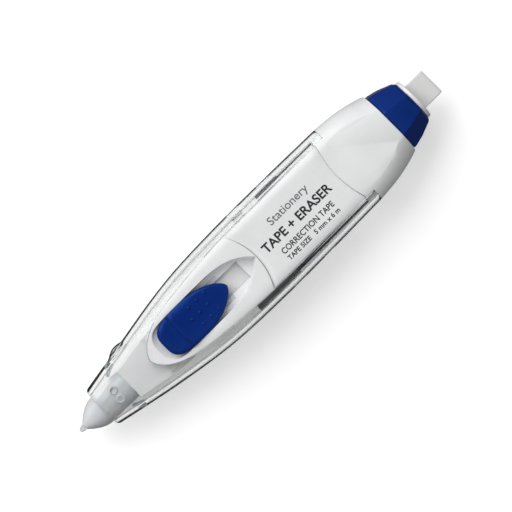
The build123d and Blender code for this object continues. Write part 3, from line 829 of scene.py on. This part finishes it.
def leaf_point(outline, w):
    """Point of the upper half of a leaf outline, from its blunt front to its pointed tail."""
    front, tail = outline[:-1], outline[-1]
    if w < 0.5:
        before = (front[1][0], -front[1][1])
        after = (2 * front[-1][0] - front[-2][0], front[-2][1])
        mirrored = [before, *front, after]
        along = w * 2 * (len(front) - 1)
        i = min(int(along), len(front) - 2)
        t = along - i
        p0, p1, p2, p3 = mirrored[i:i + 4]
        return tuple(
            0.5 * (2 * b + (c - a) * t + (2 * a - 5 * b + 4 * c - d) * t * t
                   + (3 * b - a - 3 * c + d) * t ** 3)
            for a, b, c, d in zip(p0, p1, p2, p3)
        )
    start_x, half = front[-1]
    t = w * 2 - 1
    return start_x + (tail - start_x) * t, half * (1 - t ** 4.2)


def pocket_cutter():
    """Leaf-shaped dish round the slider: a gentle slope in front and a steeper one behind."""
    levels = POCKET_LEVELS

    def place(u, v):
        spot = u * (len(levels) - 1)
        i = min(int(spot), len(levels) - 2)
        t = spot - i
        rise = levels[i][0] + (levels[i + 1][0] - levels[i][0]) * t
        grow = levels[i][1] + (levels[i + 1][1] - levels[i][1]) * t
        w = v * 2 if v < 0.5 else (1 - v) * 2
        low, high = leaf_point(POCKET_LOW, w), leaf_point(POCKET_HIGH, w)
        x = low[0] + (high[0] - low[0]) * grow
        y = max(low[1] + (high[1] - low[1]) * grow, 0.0)
        return Vector((x, y if v < 0.5 else -y, POCKET_Z + rise))

    return rolled("pocket", 18, 128, place)


def label_plate():
    """Plate between two bowed joints, dished down to each of them."""
    half = OPENING_HALF - SEAM
    rows, across = 64, 56

    def place(u, v):
        row = round(u * rows)
        step = round(v * 2 * across) % (2 * across)
        on_top = step < across
        k = step if on_top else 2 * across - 1 - step
        y = half * (2 * k / (across - 1) - 1)
        front = LABEL_FRONT_X + SEAM + FRONT_BOW * (y / JOINT_REACH) ** 2
        back = LABEL_BACK_X - SEAM + BACK_BOW * (y / JOINT_REACH) ** 2
        x = front + (back - front) * min(max((row - 1) / (rows - 2), 0), 1)
        near = max(0.0, 1 - min(x - front, back - x) / LABEL_DISH)
        top = skin_height(x, y) - LABEL_INSET - LABEL_DROP * near ** 2
        if row in (0, rows):
            return Vector((x, y, (top + LABEL_UNDER) / 2))
        return Vector((x, y, top if on_top else LABEL_UNDER))

    return rolled("label_plate", rows, 2 * across, place, closed_along=True)


def white_top():
    panel = body_solid("slider_bezel", OPENING_FRONT - 3, 6, 60)
    region = prism("region", opening_outline(SEAM, OPENING_FRONT + SEAM, 3.0), PANEL_Z, ABOVE)
    boolean(panel, region, "INTERSECT")
    boolean(panel, cross_joint(LABEL_FRONT_X, FRONT_BOW, 1))
    boolean(panel, block("slot", (-30.0, -2.9, 12), (-4.9, 2.9, POCKET_Z + 0.3)))
    boolean(panel, block("recess", (-32.0, -4.2, POCKET_Z - 0.5), (-11.7, 4.2, POCKET_Z + 0.25)))
    boolean(panel, pocket_cutter())
    soften(panel, 0.22, 3, 30)
    dress(panel, WHITE, "case", "white_plastic", "slider_surround")

    label = label_plate()
    soften(label, 0.16, 3, 30)
    dress(label, WHITE, "case", "white_plastic", "label_panel")


def rear_end():
    rear = body_solid("rear_shell", 27.0, REAR_BACK, 70)
    tongue_half = OPENING_HALF - SEAM
    shoulder = CASE_BACK + SEAM
    for side in (-1, 1):
        low = (20, min(side * tongue_half, side * 20), -1)
        high = (shoulder, max(side * tongue_half, side * 20), 22)
        boolean(rear, block("beside", low, high))
    boolean(rear, block("below", (20, -20, -1), (shoulder, 20, LABEL_UNDER)))
    boolean(rear, cross_joint(LABEL_BACK_X, BACK_BOW, -1))
    # flat that slopes down to the knob
    facet = block("facet", (-13, -20, 0), (10, 20, 3))
    turn = Euler((0, math.atan2(0.95, 15.7), 0)).to_matrix()
    for vertex in facet.data.vertices:
        vertex.co = turn @ vertex.co + Vector((42.85, 0, 19.55)) * MM
    boolean(rear, facet)
    # bore for the twist barrel, open at both ends
    bore = cylinder("bore", 8.6, -13, 13, 0, 0, 64)
    for vertex in bore.data.vertices:
        vertex.co = Vector((vertex.co.z + 43.5 * MM, vertex.co.x, vertex.co.y + AXIS_Z * MM))
    face_outwards(bore)
    boolean(rear, bore)
    soften(rear, 0.35, 4, 28)
    dress(rear, WHITE, "case", "white_plastic", "rear_housing")

    outer, inner = (11.55, 8.7, 4.6), (10.5, 7.65, 3.6)
    rings = [(x, outer) for x in (32.0, 33.5, 35.0, 36.5)]
    rings += [(x, inner) for x in (36.5, 35.0, 33.5, 32.0)] + [(32.0, outer)]

    def spigot_place(u, v):
        x, form = rings[round(u * (len(rings) - 1))]
        return section_point(x, form, v)

    spigot = rolled("rear_spigot", len(rings) - 1, 96, spigot_place, closed_along=True)
    soften(spigot, 0.12, 2)
    dress(spigot, WHITE_INNER, "case", "white_plastic")


# ------------------------------------------------------------------ blue pieces
SLIDER_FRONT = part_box("thumb_slider")[0][0] / MM
SLIDER_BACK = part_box("thumb_slider")[1][0] / MM
SLIDER_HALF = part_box("thumb_slider")[1][1] / MM


def slider_top(x, y):
    """Height of the thumb slider's crowned top, with a crease near its front."""
    t = (x - SLIDER_FRONT) / (SLIDER_BACK - SLIDER_FRONT)
    crown = 18.55 + 1.65 * math.sin(math.pi * min(max(t * 0.86 + 0.12, 0), 1)) ** 0.8
    crease = -0.46 * math.exp(-(((x + 29.4) / 0.7) ** 2))
    ridge = 0.26 * math.exp(-(((x + 28.1) / 0.8) ** 2))
    side = -0.55 * (abs(y) / SLIDER_HALF) ** 2.6
    return crown + crease + ridge + side


def slider_outline(angle, shrink):
    """Outline point of the slider at an angle, shrunk towards its middle."""
    c, s = math.cos(angle), math.sin(angle)
    widest = -24.0
    if c < 0:
        reach = widest - SLIDER_FRONT
        power = 2 / 3.4
        x = widest - reach * abs(c) ** power
        y = math.copysign(SLIDER_HALF * abs(s) ** power, s)
    else:
        reach = SLIDER_BACK - widest
        x = widest + reach * c ** 0.95
        y = math.copysign(SLIDER_HALF * abs(s) ** 1.28, s)
    middle = -23.5
    return Vector((middle + (x - middle) * shrink, y * shrink, 0))


DOT_R = 0.5
DOT_PITCH = 2.9
DOT_ROW = 2.95  # distance between the rows of dots
FIRST_DOT_X = -22.6


def thumb_button():
    base = 17.25
    rows = 24
    rim = ((0.965, 0.0), (1.0, 0.25), (1.0, 0.62), (0.985, 0.83), (0.955, 0.94), (0.91, 1.0))

    def place(u, v):
        step = round(u * rows)
        angle = 2 * math.pi * v
        if step < len(rim):
            shrink, rise = rim[step]
            point = slider_outline(angle, shrink)
            point.z = base + (slider_top(point.x, point.y) - base) * rise
        else:
            shrink = rim[-1][0] * (1 - (step - len(rim) + 1) / (rows - len(rim) + 1))
            point = slider_outline(angle, shrink)
            point.z = slider_top(point.x, point.y)
        return point

    button = rolled("thumb_button", rows, 96, place)
    soften(button, 0.0)
    stem = block("stem", (-29.7, -2.7, 15.6), (-14.6, 2.7, 18.0))
    soften(stem, 0.2, 2)
    boolean(button, stem, "UNION")
    dots = []
    for row in (-1, 0, 1):
        for column in range(3):
            x = FIRST_DOT_X + DOT_PITCH * column - (DOT_PITCH / 2 if row == 0 else 0)
            y = DOT_ROW * row
            clear_selection()
            bpy.ops.mesh.primitive_uv_sphere_add(
                segments=20, ring_count=12, radius=DOT_R * MM,
                location=(x * MM, y * MM, (slider_top(x, y) + 0.02) * MM),
            )
            dot = bpy.context.object
            dot.scale = (1, 1, 0.55)
            bpy.ops.object.transform_apply(location=True, rotation=True, scale=True)
            dots.append(dot)
    for dot in dots:
        boolean(button, dot, "UNION")
    activate(button)
    bpy.ops.object.shade_smooth_by_angle(angle=math.radians(40))
    dress(button, BLUE, "cartridge", "blue_plastic", "thumb_slider")


def knob():
    turn = math.radians(29.0)  # one facet then faces almost straight up
    eighth = math.pi / 4
    inner = 6.05
    barrel = 7.62
    step_x = 54.55  # the wide bore for the barrel ends here
    # place, radius, and how far the section is from round (0) to eight-sided (1)
    profile = (
        (KNOB_FRONT, barrel, 0.0), (KNOB_FRONT, 8.6, 1.0), (KNOB_FRONT + 0.05, 9.75, 1.0),
        (KNOB_FRONT + 0.3, 9.97, 1.0), (KNOB_FRONT + 1.2, 9.86, 1.0),
        (KNOB_FRONT + 4.0, 9.12, 1.0), (KNOB_BACK - 1.3, 7.82, 1.0),
        (KNOB_BACK - 0.75, 7.60, 1.0), (KNOB_BACK - 0.32, 7.30, 1.0),
        (KNOB_BACK - 0.08, 6.95, 0.9), (KNOB_BACK, 6.6, 0.6), (KNOB_BACK, 6.25, 0.0),
        (KNOB_BACK - 0.2, inner, 0.0), (step_x, inner, 0.0), (step_x, barrel, 0.0),
        (KNOB_FRONT, barrel, 0.0),
    )

    def place(u, v):
        spot = u * (len(profile) - 1)
        i = min(int(spot), len(profile) - 2)
        t = spot - i
        x, radius, facets = (
            profile[i][k] + (profile[i + 1][k] - profile[i][k]) * t for k in range(3)
        )
        angle = 2 * math.pi * v
        wedge = (angle - turn) % eighth - eighth / 2
        apothem = radius * math.cos(eighth / 2)
        sharp = apothem / math.cos(wedge)
        round_r = radius * 0.993
        power = 150
        eight = (sharp ** -power + round_r ** -power) ** (-1 / power)
        final = radius + (eight - radius) * facets
        return Vector((x, final * math.cos(angle), AXIS_Z + final * math.sin(angle)))

    piece = rolled("twist_grip", (len(profile) - 1) * 3, 320, place, closed_along=True)
    soften(piece, 0.0)
    dress(piece, BLUE, "knob", "blue_plastic", "twist_knob")


# ------------------------------------------------------------------ nose and eraser
def nose_piece():
    sleeve_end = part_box("nose")[1][0] / MM
    tip_x, base_x = NOSE_FORM[0][0], NOSE_FORM[-1][0]
    sleeve_form = (4.58, 4.3, 4.1)
    cone_xs = [tip_x + (base_x - tip_x) * (i / 16) ** 1.3 for i in range(17)]
    outer = [(x, table_form(NOSE_FORM, x)) for x in cone_xs]
    outer += [(base_x + 0.12, (4.32, 4.22, 3.95)), (base_x + 0.3, sleeve_form)]
    outer += [
        (base_x + 0.3 + (sleeve_end - base_x - 0.3) * i / 8, sleeve_form) for i in range(1, 9)
    ]
    inner = [
        (sleeve_end, (3.9, 3.7, 2.0)), (-57.0, (2.7, 3.4, 1.0)), (-61.5, (1.8, 3.1, 0.7)),
        (tip_x + 0.05, (1.02, 3.0, 0.4)), (tip_x, (1.06, 3.05, 0.42)),
    ]
    rows = outer + inner + [outer[0]]

    def place(u, v):
        x, form = rows[min(round(u * (len(rows) - 1)), len(rows) - 1)]
        return section_point(x, form, v)

    nose = rolled("nose_shroud", len(rows) - 1, 96, place, closed_along=True)
    soften(nose, 0.0)
    ring_x = -52.7
    for y in (-1.5, 1.5):
        ring = cylinder("ring", 1.2, 13.4, 14.5, ring_x, y, 40)
        boolean(ring, cylinder("eye", 0.7, 13.9, 14.8, ring_x, y, 32))
        soften(ring, 0.1, 2)
        boolean(nose, ring, "UNION")
    activate(nose)
    bpy.ops.object.shade_smooth_by_angle(angle=math.radians(35))
    dress(nose, FROSTED, "cartridge", "frosted_plastic", "nose")


def eraser_piece():
    low, high = (Vector(corner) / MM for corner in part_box("eraser_stick"))
    worn_length = 1.2
    half_w, half_h = 4, 2.1
    stick = block("eraser_bar", low, high)
    edit_all(stick)
    bpy.ops.mesh.subdivide(number_cuts=11)
    bpy.ops.object.mode_set(mode="OBJECT")
    for vertex in stick.data.vertices:
        x, y, z = vertex.co / MM
        wear = max(0.0, (x - (TAIL_X - worn_length)) / worn_length)
        corner = abs(y) / half_w * abs(z - AXIS_Z) / half_h
        vertex.co.x = (x - 0.12 * wear * corner ** 3) * MM
    soften(stick, 0.32, 5, 40)
    dress(stick, ERASER, "eraser", "eraser_white", "eraser_stick")


# ------------------------------------------------------------------ printing
def lettering(name, words, left, right, y, height, material, weight):
    """Flat generic lettering on the label plate, between left and right."""
    clear_selection()
    bpy.ops.object.text_add(location=(0, 0, 0))
    text = bpy.context.object
    text.data.body = words
    text.data.size = height * MM
    text.data.offset = weight * MM
    text.data.extrude = 0.04 * MM
    text.data.resolution_u = 6
    text.name = name
    bpy.ops.object.convert(target="MESH")
    text = bpy.context.object
    edit_all(text)
    bpy.ops.mesh.remove_doubles(threshold=0.000002)
    bpy.ops.mesh.normals_make_consistent(inside=False)
    bpy.ops.object.mode_set(mode="OBJECT")
    xs = [vertex.co.x for vertex in text.data.vertices]
    ys = [vertex.co.y for vertex in text.data.vertices]
    stretch = (right - left) * MM / (max(xs) - min(xs))
    middle = (max(ys) + min(ys)) / 2
    for vertex in text.data.vertices:
        x = left * MM + (vertex.co.x - min(xs)) * stretch
        lift = 0.02 if vertex.co.z > 0 else -0.06
        z = (top_of(x / MM, LABEL_INSET) + lift) * MM
        vertex.co = Vector((x, y * MM + vertex.co.y - middle, z))
    dress(text, material, "case", None)


def printing():
    lettering("print_line_grey", "Stationery", 8.6, 22.6, 3.5, 3.2, GREY_INK, 0.03)
    lettering("print_line_bold", "TAPE + ERASER", 2.4, 27.2, -0.5, 3.6, DARK_INK, 0.09)
    lettering("print_line_kind", "CORRECTION TAPE", 5.7, 24.6, -4.35, 2.35, DARK_INK, 0.045)
    lettering("print_line_size", "TAPE SIZE   5 mm x 6 m", 5.7, 24.6, -6.7, 1.9, DARK_INK, 0.045)


# ------------------------------------------------------------------ nodes kept from the frame
def carried_over():
    kept = {
        "cartridge_tray": WHITE_INNER, "cartridge_cover": WHITE_INNER, "eraser_guide": WHITE,
        # both rails' dark colours are painted shade of the gaps beside the label panel and the
        # cartridge
        "click_spring": STEEL, "left_rail": NAVY_PAINTED_SHADE, "right_rail": RAIL_PAINTED_SHADE,
        "applicator_tip": FROSTED, "slider_shoe": GREY, "feed_tape": TAPE, "return_tape": BACKING,
        "supply_gear": GEAR, "clutch_ring": RUBBER, "supply_spool": GEAR,
        "supply_roll": TAPE_ROLL, "idler_gear": GEAR, "take_up_spool": GEAR,
        "take_up_roll": BACKING_ROLL, "twist_barrel": WHITE_INNER, "eraser_holder": GEAR,
    }
    for node, material in kept.items():
        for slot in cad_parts[node].material_slots:
            slot.material = material


# ------------------------------------------------------------------ stage
def stage():
    clear_selection()
    bpy.ops.mesh.primitive_plane_add(size=6, location=(0, 0, 0))
    floor = bpy.context.object
    floor.name = "floor"
    paper = Finish("studio_paper", Specular_IOR_Level=0.2, Emission_Strength=0.36)
    cloud = paper.noise(8.0, 2.0)
    paper.feed(
        Base_Color=paper.ramp(cloud, (0.3, (0.93, 0.93, 0.93)), (0.7, (0.95, 0.95, 0.95))),
        Roughness=paper.level(cloud, 0.75, 0.85),
    )
    floor.data.materials.append(paper.material)
    # the sweep stays out of bounces and reflections, as if it were far below the pen
    floor.visible_diffuse = False
    floor.visible_glossy = False

    def area(name, place, size, watts):
        clear_selection()
        bpy.ops.object.light_add(type="AREA", location=place)
        lamp = bpy.context.object
        lamp.name = name
        lamp.data.size = size
        lamp.data.energy = watts
        lamp.rotation_euler = (-Vector(place)).to_track_quat("-Z", "Y").to_euler()

    area("key", (-0.10, 0.60, 0.56), 0.85, 6.0)
    area("fill", (0.45, -0.60, 0.55), 0.6, 0.5)
    world = bpy.data.worlds.new("studio")
    bpy.context.scene.world = world
    world.use_nodes = True
    tree = world.node_tree
    aim = tree.nodes.new("ShaderNodeVectorMath")
    aim.operation = "DOT_PRODUCT"
    aim.inputs[1].default_value = (0.0, 0.32, 1.0)
    tree.links.new(tree.nodes.new("ShaderNodeTexCoord").outputs["Generated"], aim.inputs[0])
    shade = tree.nodes.new("ShaderNodeValToRGB")
    tree.links.new(aim.outputs["Value"], shade.inputs[0])
    heights = ((0.10, 0.19), (0.55, 0.70), (0.88, 1.05), (0.985, 0.30))
    stops = shade.color_ramp.elements
    while len(stops) < len(heights):
        stops.new(0.5)
    for stop, (height, level) in zip(stops, heights):
        stop.position = height
        stop.color = (level, level, level, 1)
    tree.links.new(shade.outputs[0], tree.nodes["Background"].inputs["Color"])
    tree.nodes["Background"].inputs["Strength"].default_value = 0.68
    bpy.context.scene.view_settings.view_transform = "Standard"


def camera():
    height = 0.75
    subject = 0.012  # height at which the frame is as wide as the field
    field = 0.1382
    sensor = 36
    turn = 44.9  # degrees between the pen and the frame
    bpy.ops.object.camera_add(location=(0.0, 0.0, height))
    lens = bpy.context.object
    lens.rotation_euler = (0, 0, -math.radians(turn))
    lens.data.sensor_width = sensor
    lens.data.lens = sensor * (height - subject) / field
    bpy.context.scene.camera = lens


camera()
clear_case()
white_top()
rear_end()
thumb_button()
knob()
nose_piece()
eraser_piece()
printing()
carried_over()
stage()
